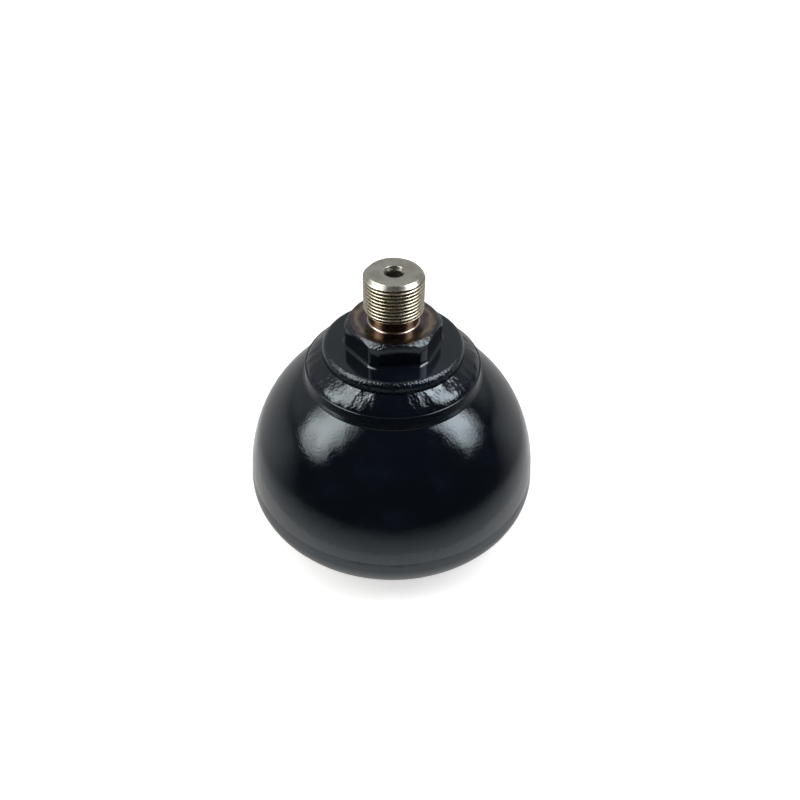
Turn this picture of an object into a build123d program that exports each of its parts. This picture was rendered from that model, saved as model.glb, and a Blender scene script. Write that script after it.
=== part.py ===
from build123d import *
import math
import os

# A welded diaphragm accumulator that stands port up: a deep-drawn dome, a torispherical cap below it,
# and a port fitting with a threaded stud, a spanner hexagon and a flange welded on the dome's collar.
# All sizes are in millimetres. The base plane is Z = 0, and the axis of revolution is +Z.

# Dome, the upper shell
dome_radius = 63.4
dome_wall = 4.5
dome_skirt = 0.2
collar_radius = 37.5
collar_height = 5.4
collar_draft = 0.5
collar_corner = 0.9
collar_thickness = 7.7
port_opening_radius = 20.0

# Cap, the lower shell
cap_step = 0.95
cap_skirt = 0.8
cap_knuckle_radius = 12.0
cap_crown_radius = 110.0
foot_radius = 22.0
boss_radius = 17.0
boss_height = 14.0
ledge_drop = 4.0
ledge_width = 2.9

# Seam weld between the shells
seam_groove = 2.2
seam_half_width = 2.2
seam_crown = 0.4

# Port fitting
flange_radius = 29.05
flange_height = 10.15
flange_shoulder = 2.45
hexagon_across_flats = 36.0
hexagon_turned_radius = 19.7
hexagon_height = 10.5
hexagon_foot_fillet = 1.5
seal_face_radius = 17.5
neck_radius = 10.0
neck_length = 4.1
neck_fillet = 0.8
relief_radius = 12.8
relief_depth = 0.15
thread_radius = 12.0
thread_length = 17.5
thread_run_out = 1.6
stud_chamfer = 1.7
oil_bore_radius = 3.5
bore_mouth_radius = 4.2
bore_mouth_depth = 1.5
bore_foot_chamfer = 1.0
spigot_clearance = 0.1

# Fillet weld between the flange and the collar
weld_leg_up = 5.7
weld_leg_out = 7.0
weld_crown = 0.9

# Diaphragm, its retaining ring and the closing button
rubber_gap = 0.35
rubber_wall = 2.4
bead_width = 4.3
bead_height = 4.4
ring_wall = 1.5
ring_foot_height = 2.5
ring_grip_height = 6.5
ring_clearance = 0.2
button_seat_gap = 0.1
button_radius = 10.8
button_lip = 4.2
button_lip_height = 2.4
button_edge = 0.6
button_clearance = 0.3

# Gas charging plug and its sealing ring
plug_head_radius = 12.6
plug_head_height = 4.6
plug_head_bevel = 0.8
plug_recess = 0.9
plug_thread_radius = 9.0
plug_thread_length = 8.0
plug_thread_bevel = 1.0
plug_clearance = 0.1
plug_pocket_clearance = 0.4
plug_socket_across_flats = 10.0
plug_socket_depth = 6.0
seal_thickness = 1.0
seal_inner_gap = 0.3

# Radii that follow from those sizes
inner_radius = dome_radius - dome_wall
cap_radius = dome_radius + cap_step
cap_wall = cap_radius - inner_radius
collar_top_radius = collar_radius - collar_draft
spigot_radius = port_opening_radius - spigot_clearance
rubber_radius = inner_radius - rubber_gap
bead_inner_radius = rubber_radius - bead_width
ring_outer_radius = inner_radius - ring_clearance
ring_sleeve_radius = bead_inner_radius - ring_clearance
ledge_radius = inner_radius - ledge_width
plug_hole_radius = plug_thread_radius + plug_clearance
plug_pocket_radius = plug_head_radius + plug_pocket_clearance
plug_pocket_depth = plug_recess + plug_head_height + seal_thickness


def sphere_height(radius, at):
    """Height above its centre of a ball's surface at the distance `at` from the axis."""
    return math.sqrt(radius**2 - at**2)


# Levels, from the base plane up
knuckle_centre_radius = cap_radius - cap_knuckle_radius
crown_offset = sphere_height(cap_crown_radius - cap_knuckle_radius, knuckle_centre_radius)
z_knuckle = sphere_height(cap_crown_radius, foot_radius) - crown_offset
z_crown_centre = z_knuckle + crown_offset
z_seam = z_knuckle + cap_skirt + seam_half_width
z_dome = z_seam + dome_skirt
z_collar_foot = z_dome + sphere_height(dome_radius, collar_radius)
z_collar = z_collar_foot + collar_height
z_collar_inside = z_collar - collar_thickness
z_flange = z_collar + flange_height
z_seal_face = z_flange + hexagon_height
z_relief = z_seal_face - relief_depth
z_neck = z_seal_face + neck_length
z_stud = z_neck + thread_length
z_ledge = z_seam - ledge_drop
z_ring = z_ledge + ring_foot_height
z_bead = z_ring + ring_clearance
z_plug_pocket = plug_pocket_depth


def turned(*edges):
    """The solid of revolution of a closed profile drawn as (radius, height)."""
    return revolve(Plane.XZ * make_face(Curve() + list(edges)), Axis.Z)


def hexagonal_bar(across_flats, height):
    """A hexagonal bar on the base plane, with two of its flats square to Y."""
    return extrude(RegularPolygon(across_flats / 2, 6, major_radius=False), height)


def arc_about(centre, start, end):
    """The shorter arc from start to end about a centre, all as (radius, height)."""
    radius = math.dist(centre, start)
    first = math.atan2(start[1] - centre[1], start[0] - centre[0])
    last = math.atan2(end[1] - centre[1], end[0] - centre[0])
    middle = (first + last) / 2
    halfway = (centre[0] + radius * math.cos(middle), centre[1] + radius * math.sin(middle))
    return ThreePointArc(start, halfway, end)


def bulged_arc(start, end, bulge):
    """The arc from start to end whose middle stands `bulge` to the right of its chord."""
    length = math.dist(start, end)
    across = ((end[1] - start[1]) / length, (start[0] - end[0]) / length)
    middle = [(a + b) / 2 + bulge * n for a, b, n in zip(start, end, across)]
    return ThreePointArc(start, tuple(middle), end)


def knuckle_meets_crown(crown):
    """Where the cap's knuckle runs over into its crown, on a crown arc of the given radius."""
    share = knuckle_centre_radius / (cap_crown_radius - cap_knuckle_radius)
    return (crown * share, z_crown_centre - crown * math.sqrt(1 - share**2))


def upper_shell():
    """Half ball with a short skirt and a forged collar, whose flat top carries the port fitting."""
    ball = (0, z_dome)
    weld_root = (dome_radius - seam_groove, z_seam)
    weld_high = seam_weld_edge()
    collar_foot = (collar_radius, z_collar_foot)
    corner_low = (collar_top_radius, z_collar - collar_corner)
    corner_high = (collar_top_radius - collar_corner, z_collar)
    inside_edge = (sphere_height(inner_radius, z_collar_inside - z_dome), z_collar_inside)
    return turned(
        Polyline((inner_radius, z_dome), (inner_radius, z_seam), weld_root, weld_high),
        arc_about(ball, weld_high, collar_foot),
        Line(collar_foot, corner_low),
        arc_about((corner_high[0], corner_low[1]), corner_low, corner_high),
        Polyline(
            corner_high,
            (port_opening_radius, z_collar),
            (port_opening_radius, z_collar_inside),
            inside_edge,
        ),
        arc_about(ball, inside_edge, (inner_radius, z_dome)),
    )


def lower_shell():
    """Torispherical cap: a short skirt, a tight knuckle, a shallow crown and a flat foot.

    Inside, a ledge carries the retaining ring and a thick boss holds the gas plug.
    """
    knuckle = (knuckle_centre_radius, z_knuckle)
    crown = (0, z_crown_centre)
    inner_crown_radius = cap_crown_radius - cap_wall
    outer_turn = knuckle_meets_crown(cap_crown_radius)
    inner_turn = knuckle_meets_crown(inner_crown_radius)
    inner_knuckle_radius = cap_knuckle_radius - cap_wall
    ledge_foot_drop = sphere_height(inner_knuckle_radius, ledge_radius - knuckle_centre_radius)
    ledge_foot = (ledge_radius, z_knuckle - ledge_foot_drop)
    inner_boss_foot = (boss_radius, z_crown_centre - sphere_height(inner_crown_radius, boss_radius))
    return turned(
        Polyline(
            (plug_hole_radius, boss_height),
            (plug_hole_radius, z_plug_pocket),
            (plug_pocket_radius, z_plug_pocket),
            (plug_pocket_radius, 0),
            (foot_radius, 0),
        ),
        arc_about(crown, (foot_radius, 0), outer_turn),
        arc_about(knuckle, outer_turn, (cap_radius, z_knuckle)),
        Polyline(
            (cap_radius, z_knuckle),
            (cap_radius, z_knuckle + cap_skirt),
            (dome_radius - seam_groove, z_seam),
            (inner_radius, z_seam),
            (inner_radius, z_ledge),
            (ledge_radius, z_ledge),
            ledge_foot,
        ),
        arc_about(knuckle, ledge_foot, inner_turn),
        arc_about(crown, inner_turn, inner_boss_foot),
        Polyline(inner_boss_foot, (boss_radius, boss_height), (plug_hole_radius, boss_height)),
    )


def seam_weld_edge():
    """The upper toe of the seam weld, on the dome's outside."""
    height = z_seam + seam_half_width
    return (sphere_height(dome_radius, height - z_dome), height)


def seam_weld():
    """The bead that fills the groove between the two shells and stands a little proud of them."""
    root = (dome_radius - seam_groove, z_seam)
    low = (cap_radius, z_knuckle + cap_skirt)
    high = seam_weld_edge()
    return turned(Line(root, low), bulged_arc(low, high, seam_crown), Line(high, root))


def port_fitting():
    """One forging: spigot, flange, spanner hexagon, seal face, relieved neck and stud with its bore."""
    shoulder_centre = (flange_radius - flange_shoulder, z_flange - flange_shoulder)
    base = turned(
        Polyline(
            (0, z_flange),
            (0, z_collar_inside),
            (spigot_radius, z_collar_inside),
            (spigot_radius, z_collar),
            (flange_radius, z_collar),
            (flange_radius, shoulder_centre[1]),
        ),
        arc_about(shoulder_centre, (flange_radius, shoulder_centre[1]), (shoulder_centre[0], z_flange)),
        Line((shoulder_centre[0], z_flange), (0, z_flange)),
    )
    hexagon_bevel = hexagon_turned_radius - seal_face_radius
    hexagon_blank = turned(
        Polyline(
            (0, z_flange),
            (hexagon_turned_radius, z_flange),
            (hexagon_turned_radius, z_seal_face - hexagon_bevel),
            (seal_face_radius, z_seal_face),
            (0, z_seal_face),
            (0, z_flange),
        )
    )
    flats = Pos(0, 0, z_flange) * hexagonal_bar(hexagon_across_flats, hexagon_height)
    body = base + (hexagon_blank & flats)
    body = fillet(body.edges().filter_by(is_hexagon_foot), hexagon_foot_fillet)
    return body - neck_relief() + stud() - oil_bore()


def is_hexagon_foot(edge):
    """True for the edges where the hexagon stands on the flange."""
    touching = 0.01
    middle = edge @ 0.5
    level = all(abs((edge @ share).Z - z_flange) < touching for share in (0, 0.5, 1))
    return level and math.hypot(middle.X, middle.Y) < hexagon_turned_radius + touching


def neck_relief():
    """The shallow recess round the neck's foot, which keeps the seal face clear of the thread."""
    return turned(
        Polyline(
            (0, z_relief),
            (relief_radius, z_relief),
            (relief_radius, z_seal_face),
            (0, z_seal_face),
            (0, z_relief),
        )
    )


def stud():
    """The stud above that recess, with its relieved neck. The thread's crests are at thread_radius."""
    fillet_centre = (neck_radius + neck_fillet, z_relief + neck_fillet)
    return turned(
        Line((0, z_relief), (fillet_centre[0], z_relief)),
        arc_about(fillet_centre, (fillet_centre[0], z_relief), (neck_radius, fillet_centre[1])),
        Polyline(
            (neck_radius, fillet_centre[1]),
            (neck_radius, z_neck),
            (thread_radius, z_neck + thread_run_out),
            (thread_radius, z_stud - stud_chamfer),
            (thread_radius - stud_chamfer, z_stud),
            (0, z_stud),
            (0, z_relief),
        ),
    )


def oil_bore():
    """The drilling from the stud's face to the inside, bevelled at both ends."""
    return turned(
        Polyline(
            (0, z_collar_inside),
            (oil_bore_radius + bore_foot_chamfer, z_collar_inside),
            (oil_bore_radius, z_collar_inside + bore_foot_chamfer),
            (oil_bore_radius, z_stud - bore_mouth_depth),
            (bore_mouth_radius, z_stud),
            (0, z_stud),
            (0, z_collar_inside),
        )
    )


def port_weld():
    """The heavy fillet weld that joins the flange's side to the collar's top."""
    root = (flange_radius, z_collar)
    toe_out = (flange_radius + weld_leg_out, z_collar)
    toe_up = (flange_radius, z_collar + weld_leg_up)
    return turned(Line(root, toe_out), bulged_arc(toe_out, toe_up, weld_crown), Line(toe_up, root))


def diaphragm():
    """Moulded rubber bowl, pressed against the dome by the gas, with a thick bead round its rim."""
    ball = (0, z_dome)
    z_top = z_collar_inside - rubber_gap
    z_under = z_top - rubber_wall
    inside = rubber_radius - rubber_wall
    hole = button_radius + button_clearance
    outer_edge = (sphere_height(rubber_radius, z_top - z_dome), z_top)
    inner_edge = (sphere_height(inside, z_under - z_dome), z_under)
    z_bead_top = z_bead + bead_height
    inner_foot = (sphere_height(inside, max(0, z_bead_top - z_dome)), z_bead_top)
    outer_foot = (rubber_radius, z_dome)
    return turned(
        Polyline(outer_foot, (rubber_radius, z_bead), (bead_inner_radius, z_bead)),
        Polyline((bead_inner_radius, z_bead), (bead_inner_radius, z_bead_top), inner_foot),
        arc_about(ball, inner_foot, inner_edge),
        Polyline(inner_edge, (hole, z_under), (hole, z_top), outer_edge),
        arc_about(ball, outer_edge, outer_foot),
    )


def retaining_ring():
    """Pressed steel ring on the cap's ledge, whose sleeve traps the diaphragm's bead."""
    bore = ring_sleeve_radius - ring_wall
    return turned(
        Polyline(
            (bore, z_ledge),
            (ring_outer_radius, z_ledge),
            (ring_outer_radius, z_ring),
            (ring_sleeve_radius, z_ring),
            (ring_sleeve_radius, z_ring + ring_grip_height),
            (bore, z_ring + ring_grip_height),
            (bore, z_ledge),
        )
    )


def closing_button():
    """Metal button in the middle of the diaphragm, which closes the bore when the oil has left."""
    z_face = z_collar_inside - button_seat_gap
    z_lip = z_collar_inside - rubber_gap - rubber_wall - button_clearance
    z_under = z_lip - button_lip_height
    lip_radius = button_radius + button_lip
    return turned(
        Polyline(
            (0, z_face),
            (0, z_under),
            (lip_radius - button_edge, z_under),
            (lip_radius, z_under + button_edge),
            (lip_radius, z_lip),
            (button_radius, z_lip),
            (button_radius, z_face - button_edge),
            (button_radius - button_edge, z_face),
            (0, z_face),
        )
    )


def gas_plug():
    """Socket-head charging screw, sunk in the foot, with the hexagon socket open downwards."""
    z_head = plug_recess + plug_head_height
    z_tip = z_plug_pocket + plug_thread_length
    screw = turned(
        Polyline(
            (0, plug_recess),
            (plug_head_radius - plug_head_bevel, plug_recess),
            (plug_head_radius, plug_recess + plug_head_bevel),
            (plug_head_radius, z_head),
            (plug_thread_radius, z_head),
            (plug_thread_radius, z_tip - plug_thread_bevel),
            (plug_thread_radius - plug_thread_bevel, z_tip),
            (0, z_tip),
            (0, plug_recess),
        )
    )
    return screw - Pos(0, 0, plug_recess) * hexagonal_bar(plug_socket_across_flats, plug_socket_depth)


def gas_plug_seal():
    """Flat sealing ring under the plug's head."""
    bore = plug_hole_radius + seal_inner_gap
    z_low = plug_recess + plug_head_height
    return turned(
        Polyline(
            (bore, z_low),
            (plug_head_radius, z_low),
            (plug_head_radius, z_plug_pocket),
            (bore, z_plug_pocket),
            (bore, z_low),
        )
    )


nodes = {
    "port_fitting": port_fitting,
    "port_weld": port_weld,
    "upper_shell": upper_shell,
    "seam_weld": seam_weld,
    "lower_shell": lower_shell,
    "diaphragm": diaphragm,
    "retaining_ring": retaining_ring,
    "closing_button": closing_button,
    "gas_plug": gas_plug,
    "gas_plug_seal": gas_plug_seal,
}

os.makedirs("parts", exist_ok=True)
for name, make in nodes.items():
    export_step(make(), f"parts/{name}.step")

print("overall height", round(z_stud, 3), "seam", round(z_seam, 3), "dome centre", round(z_dome, 3))
print("collar", round(z_collar, 3), "inside face", round(z_collar_inside, 3), "bead", round(z_bead, 3))
print("seal face", round(z_seal_face, 3), "neck", round(z_neck, 3))
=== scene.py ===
# Hydraulic accumulator of the welded diaphragm type: its pieces, the floor, the light and the camera.
import functools
import math

import bpy
import numpy as np
from bpy.props import FloatProperty, FloatVectorProperty, IntProperty, PointerProperty
from bpy.types import Operator, Panel, PropertyGroup
from mathutils import Matrix, Vector


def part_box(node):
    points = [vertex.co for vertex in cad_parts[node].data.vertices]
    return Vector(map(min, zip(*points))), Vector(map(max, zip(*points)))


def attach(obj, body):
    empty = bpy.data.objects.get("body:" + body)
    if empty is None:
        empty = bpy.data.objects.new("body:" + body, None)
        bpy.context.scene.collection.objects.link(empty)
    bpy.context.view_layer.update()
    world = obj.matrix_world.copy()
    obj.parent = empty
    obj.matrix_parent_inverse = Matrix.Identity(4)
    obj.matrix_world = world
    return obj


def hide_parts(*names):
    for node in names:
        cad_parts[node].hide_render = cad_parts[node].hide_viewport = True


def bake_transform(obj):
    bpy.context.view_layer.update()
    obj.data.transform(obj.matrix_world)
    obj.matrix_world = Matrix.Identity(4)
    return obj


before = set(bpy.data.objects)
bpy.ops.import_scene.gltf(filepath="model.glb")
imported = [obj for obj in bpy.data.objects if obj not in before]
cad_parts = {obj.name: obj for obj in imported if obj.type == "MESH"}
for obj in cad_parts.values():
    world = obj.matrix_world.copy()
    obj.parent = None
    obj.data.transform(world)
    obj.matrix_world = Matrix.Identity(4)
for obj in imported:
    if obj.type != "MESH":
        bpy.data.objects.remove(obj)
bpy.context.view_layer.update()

bl_info = {
    "name": "Diaphragm Accumulator",
    "version": (1, 0, 0),
    "blender": (4, 5, 0),
    "location": "3D View > Sidebar > Accumulator",
    "description": "Makes the visible pieces of a welded diaphragm accumulator round its packed solids",
    "category": "Add Mesh",
}

MM = 0.001
FULL_TURN = 2 * math.pi
STAGE_COLUMNS = 96
# Painted cool tint of daylight on the paint's reflections, and the warm tint of the oiled thread
COOL_REFLECTION_TINT = (0.84, 0.97, 1.04, 1.0)
WARM_TINT = (1.03, 0.97, 0.85)


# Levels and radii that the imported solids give, in metres

def node_low(node):
    """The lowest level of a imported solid."""
    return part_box(node)[0].z


def node_high(node):
    """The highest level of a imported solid."""
    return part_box(node)[1].z


def node_radius(node):
    """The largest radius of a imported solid."""
    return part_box(node)[1].x


Z_STUD = node_high("port_fitting")
Z_INSIDE = node_low("port_fitting")
Z_COLLAR = node_high("upper_shell")
Z_SEAM = node_low("upper_shell")
Z_PORT_WELD = node_high("port_weld")
Z_SEAM_WELD_LOW = node_low("seam_weld")
Z_SEAM_WELD_HIGH = node_high("seam_weld")
PORT_WELD_RADIUS = node_radius("port_weld")
DOME_RADIUS = node_radius("upper_shell")
CAP_RADIUS = node_radius("lower_shell")


# Settings that a user would change

def length(label, millimetres):
    """A length setting, given in millimetres and kept in metres."""
    return FloatProperty(name=label, default=millimetres * MM, min=0.0, unit="LENGTH", precision=5)


def angle(label, degrees):
    """An angle setting, given in degrees and kept in radians."""
    return FloatProperty(name=label, default=math.radians(degrees), subtype="ANGLE")


def count(label, default):
    """A whole-number setting."""
    return IntProperty(name=label, default=default, min=3)


def tint(label, red, green, blue):
    """A colour setting, in linear light."""
    return FloatVectorProperty(name=label, default=(red, green, blue), size=3, min=0.0, max=1.0,
                               subtype="COLOR")


class PortSizes(PropertyGroup):
    """Sizes of the port fitting."""

    thread_radius: length("Radius over the crests of the thread", 12.0)
    thread_pitch: length("Rise of the thread in one turn", 1.5)
    thread_depth: length("Height of the thread's crests over its roots", 0.92)
    thread_length: length("Length from the neck to the stud's end", 17.5)
    thread_run_out: length("Length of the cone below the last turn", 1.6)
    stud_chamfer: length("Leg of the bevel at the stud's end", 1.7)
    bore_radius: length("Radius of the oil bore", 3.5)
    mouth_radius: length("Radius of the countersink at the stud's end", 4.2)
    mouth_depth: length("Depth of the countersink at the stud's end", 1.5)
    foot_chamfer: length("Bevel of the bore inside the vessel", 1.0)
    neck_radius: length("Radius of the relieved neck", 10.0)
    neck_length: length("Height of the neck over the seal face", 4.1)
    neck_fillet: length("Radius of the fillet at the foot of the neck", 0.8)
    relief_radius: length("Radius of the shallow recess round the neck's foot", 12.8)
    relief_depth: length("Depth of the shallow recess", 0.15)
    seal_face_radius: length("Outer radius of the bare seal face", 17.5)
    across_flats: length("Distance between two flats of the hexagon", 36.0)
    turned_radius: length("Radius to which the corners are turned", 19.7)
    hexagon_height: length("Height from the flange's top to the seal face", 10.5)
    bevel_angle: angle("Slope of the bevel over the hexagon's corners", 37)
    foot_fillet: length("Radius where the hexagon meets the flange", 1.5)
    flange_radius: length("Outer radius of the flange", 29.05)
    flange_shoulder: length("Radius of the flange's rounded shoulder", 2.45)
    spigot_radius: length("Radius of the spigot in the shell's opening", 19.9)
    sleeve_radius: length("Radius where the stud's mesh meets the hexagon's, out of sight", 8.0)
    edge: length("Radius of a broken edge on bare steel", 0.2)
    painted_edge: length("Radius of an edge under paint", 0.4)


class ShellSizes(PropertyGroup):
    """Sizes of the two shells and of the welds."""

    wall: length("Thickness of the dome's wall", 4.5)
    skirt: length("Straight part between the seam and the dome", 0.2)
    flare_width: length("How far the dome swells out at the seam", 0.32)
    flare_height: length("Height over which the dome swells out", 18.0)
    collar_radius: length("Radius at the foot of the forged collar", 37.5)
    collar_draft: length("How much the collar narrows to its top", 1.0)
    collar_land: length("Height of the straight part at the collar's foot", 0.4)
    collar_corner: length("Radius of the collar's top corner", 0.4)
    collar_line: length("Depth of the fine turned lines round the collar", 0.07)
    collar_thickness: length("Depth from the collar's top to the flat face inside", 7.7)
    opening_radius: length("Radius of the opening for the port fitting", 20.0)
    knuckle_radius: length("Radius between the cap's skirt and its crown", 12.0)
    crown_radius: length("Radius of the cap's shallow crown", 110.0)
    foot_radius: length("Radius of the flat that the vessel stands on", 22.0)
    cap_skirt: length("Straight part between the knuckle and the seam weld", 0.8)
    seam_groove: length("Depth of the groove that the seam weld fills", 2.2)
    ledge_drop: length("Drop from the seam to the ring's ledge", 4.0)
    ledge_width: length("Width of the ring's ledge", 2.9)
    boss_radius: length("Radius of the boss that holds the gas plug", 17.0)
    boss_height: length("Height of the boss over the foot", 14.0)
    plug_pocket_radius: length("Radius of the recess round the plug's head", 13.0)
    plug_pocket_depth: length("Depth of the recess round the plug's head", 6.5)
    plug_hole_radius: length("Radius of the hole for the plug's thread", 9.1)
    weld_crown: length("How far the port weld bulges", 0.9)
    ripple: length("Height of the ripples on the port weld", 0.09)


class PlugSizes(PropertyGroup):
    """Sizes of the gas plug and of the rubber diaphragm."""

    recess: length("How far the plug's head lies above the foot", 0.9)
    head_radius: length("Radius of the plug's head", 12.6)
    head_height: length("Height of the plug's head", 4.6)
    head_bevel: length("Bevel of the plug's head", 0.8)
    shank_radius: length("Radius over the plug's thread", 9.0)
    socket_across_flats: length("Size of the plug's hexagon socket", 10.0)
    socket_depth: length("Depth of the plug's hexagon socket", 6.0)
    rubber_wall: length("Thickness of the diaphragm", 2.4)
    rubber_gap: length("Space between the diaphragm and the dome", 0.35)
    bead_width: length("Width of the diaphragm's rim bead", 4.3)
    bead_height: length("Height of the diaphragm's rim bead", 4.4)
    button_radius: length("Radius of the hole that holds the button", 11.1)


class Finishes(PropertyGroup):
    """Colours of the finishes."""

    paint: tint("Black gloss paint", 0.0020, 0.0031, 0.0055)
    steel: tint("Turned steel of the stud", 0.55, 0.535, 0.465)
    # Golden brown of the neck: oil tint with a painted reflection of the golden seal face in it
    bronze_and_face_reflection: tint("Oil-tinted steel of the neck", 0.20, 0.148, 0.092)
    # Painted highlight: a bright line painted into the fillet at the neck's foot
    fillet: tint("Bright line in the fillet at the neck's foot", 0.62, 0.50, 0.36)
    gold: tint("Oil-tinted steel of the seal face", 0.30, 0.25, 0.18)
    violet: tint("Darker tint round the foot of the neck", 0.15, 0.118, 0.138)
    zinc: tint("Plating of the gas plug", 0.62, 0.63, 0.66)
    copper: tint("Seal under the gas plug", 0.80, 0.42, 0.26)
    rubber: tint("Moulded rubber of the diaphragm", 0.020, 0.020, 0.022)
    floor: tint("Pale studio floor", 0.74, 0.74, 0.74)


class StageSettings(PropertyGroup):
    """Place of the camera and size of the floor."""

    lens: FloatProperty(name="Focal length of the camera", default=33.75, min=1.0, unit="CAMERA")
    turn: angle("Camera's turn round the vessel, from -Y", -7.5)
    pitch: angle("How far the camera looks down", 41.295)
    yaw: angle("Camera's turn about its own upright", 0.563)
    roll: angle("Camera's turn about its line of sight", 0.681)
    reach: length("Camera's level distance from the axis", 245.43)
    rise: length("Camera's height over the stud's end", 150.92)
    floor_radius: length("Radius of the pale floor", 6000.0)


class AccumulatorSettings(PropertyGroup):
    """All settings of the accumulator."""

    port: PointerProperty(type=PortSizes)
    shell: PointerProperty(type=ShellSizes)
    plug: PointerProperty(type=PlugSizes)
    finishes: PointerProperty(type=Finishes)
    stage: PointerProperty(type=StageSettings)
    columns: count("Mesh columns round the axis of a plain turned piece", 256)
    hexagon_columns: count("Mesh columns round the hexagon", 360)
    thread_columns: count("Mesh columns round the threaded stud", 168)
    weld_columns: count("Mesh columns round the port weld", 900)


def settings():
    """The accumulator's settings in the current scene."""
    return bpy.context.scene.accumulator


def port_levels():
    """Levels of the neck's top, the seal face and the flange's top, from the stud's end down."""
    port = settings().port
    z_neck = Z_STUD - port.thread_length
    z_seal = z_neck - port.neck_length
    return z_neck, z_seal, z_seal - port.hexagon_height


# Profiles: arrays of (radius, height), one for each angle round the axis

def angles(columns):
    """Evenly spaced angles round the axis, without the one that closes the turn."""
    return np.arange(columns) * FULL_TURN / columns


def corner(radius, height, rounding=0.0, steps=6):
    """One corner of a profile: its place, the radius that rounds it and the number of steps in that arc."""
    return np.asarray(radius, float), np.asarray(height, float), rounding, steps


def arc_corners(centre, radius, start, end, steps):
    """Corners along an arc: the centre plus the radius times the cosine and sine of evenly spaced angles."""
    turn = np.linspace(start, end, steps + 1)
    return [corner(centre[0] + radius * math.cos(a), centre[1] + radius * math.sin(a)) for a in turn]


def rounded_profile(corners):
    """The closed profile through the corners, as an array of rows, columns and (radius, height).

    At a corner with a rounding, the unit vectors u and v point to its neighbours. The arc touches both sides
    at rounding / tan(half the angle between u and v) from the corner, its centre lies on u + v at
    rounding / sin(half that angle), and its points turn evenly from one touching point to the other.
    """
    places = [np.stack(np.broadcast_arrays(c[0], c[1]), axis=-1).reshape(-1, 2) for c in corners]
    rows = []
    for i, (_, _, rounding, steps) in enumerate(corners):
        before, here, after = places[i - 1], places[i], places[(i + 1) % len(places)]
        if not rounding:
            rows.append(here)
            continue
        before, here, after = np.broadcast_arrays(before, here, after)
        u = unit(before - here)
        v = unit(after - here)
        half = np.arccos(np.clip((u * v).sum(-1), -1, 1))[:, None] / 2
        touch = rounding / np.tan(half)
        centre = here + unit(u + v) * rounding / np.sin(half)
        first = here + u * touch - centre
        last = here + v * touch - centre
        swing = math.pi - 2 * half
        for share in np.linspace(0, 1, steps + 1):
            rows.append(centre + (first * np.sin((1 - share) * swing) + last * np.sin(share * swing))
                        / np.sin(swing))
    columns = max(len(r) for r in rows)
    return np.stack([np.broadcast_to(r, (columns, 2)) for r in rows])


def unit(vectors):
    """The vectors at length 1."""
    return vectors / np.linalg.norm(vectors, axis=-1, keepdims=True)


def refined(profile, low, high, step):
    """The profile with more rows between two heights, so that no side there is longer than step."""
    rows = []
    for here, after in zip(profile, np.roll(profile, -1, axis=0)):
        inside = min(here[0, 1], after[0, 1]) >= low and max(here[0, 1], after[0, 1]) <= high
        parts = max(1, math.ceil(np.linalg.norm(after[0] - here[0]) / step)) if inside else 1
        rows += [here + (after - here) * k / parts for k in range(parts)]
    return np.stack(rows)


def swept(profile, turn):
    """The points of a profile carried round the axis: x = r cos t, y = r sin t, z = height."""
    radius, height = np.broadcast_to(profile, (len(profile), len(turn), 2)).transpose(2, 0, 1)
    return np.stack([radius * np.cos(turn), radius * np.sin(turn), height], axis=-1)


def bead_rows(steps):
    """Even shares across a bead from 0 to 1, with one more row close to each toe to keep it crisp."""
    return np.concatenate([[0, 0.01], np.linspace(0, 1, steps + 1)[1:-1], [0.99, 1]])[:, None]


def hexagon_radius(turn, across_flats, turned_radius, rounding):
    """Distance from the axis to a hexagon with turned corners: the smaller of the turned radius and
    apothem / cos(angle off the nearest flat), joined by a soft minimum of width rounding."""
    off_flat = np.mod(turn, FULL_TURN / 6) - FULL_TURN / 12
    flat = across_flats / 2 / np.cos(off_flat)
    if turned_radius is None:
        return flat
    gap = np.clip(0.5 + (turned_radius - flat) / (2 * rounding), 0, 1)
    return turned_radius + (flat - turned_radius) * gap - rounding * gap * (1 - gap)


def wobble(turn, seed, slowest, fastest, tilt=0.0, across=0.0):
    """A seamless random wave round the axis, from about -1 to 1: a sum of cosines of whole numbers of
    waves from slowest to fastest, each with its own height and phase. With tilt, the phase also shifts
    across the piece."""
    random = np.random.default_rng(seed)
    total, power = 0.0, 0.0
    for waves in range(slowest, fastest + 1):
        height = random.uniform(0.3, 1.0)
        phase = random.uniform(0, FULL_TURN)
        slant = random.uniform(-tilt, tilt)
        total = total + height * np.cos(waves * turn + phase + slant * across)
        power += height**2 / 2
    return total / (2 * math.sqrt(power))


# Meshes

def grid_quads(rows, columns, closed_rows=False):
    """Corner numbers of a grid that closes round the axis, quad by quad: the grid points (i, j), (i, j+1),
    (i+1, j+1) and (i+1, j). With closed_rows the last row also joins the first."""
    index = np.arange(rows * columns).reshape(rows, columns)
    lower = index if closed_rows else index[:-1]
    upper = np.roll(index, -1, axis=0) if closed_rows else index[1:]
    quads = np.stack([lower, np.roll(lower, -1, axis=1), np.roll(upper, -1, axis=1), upper], axis=-1)
    return quads.reshape(-1, 4)


def new_object(name, vertices, faces, materials):
    """An object with one mesh, at the origin of the current scene."""
    mesh = bpy.data.meshes.new(name)
    mesh.from_pydata(vertices, [], faces)
    for material in materials:
        mesh.materials.append(material)
    made = bpy.data.objects.new(name, mesh)
    bpy.context.scene.collection.objects.link(made)
    return made


def turned_sheet(name, profile, material, closing=()):
    """An open sheet for the stage: (radius, height) points carried round the axis, and closing faces."""
    points = swept(np.asarray(profile, float)[:, None], angles(STAGE_COLUMNS))
    faces = grid_quads(len(profile), STAGE_COLUMNS).tolist() + [list(face) for face in closing]
    return new_object(name, points.reshape(-1, 3).tolist(), faces, [material])


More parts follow.
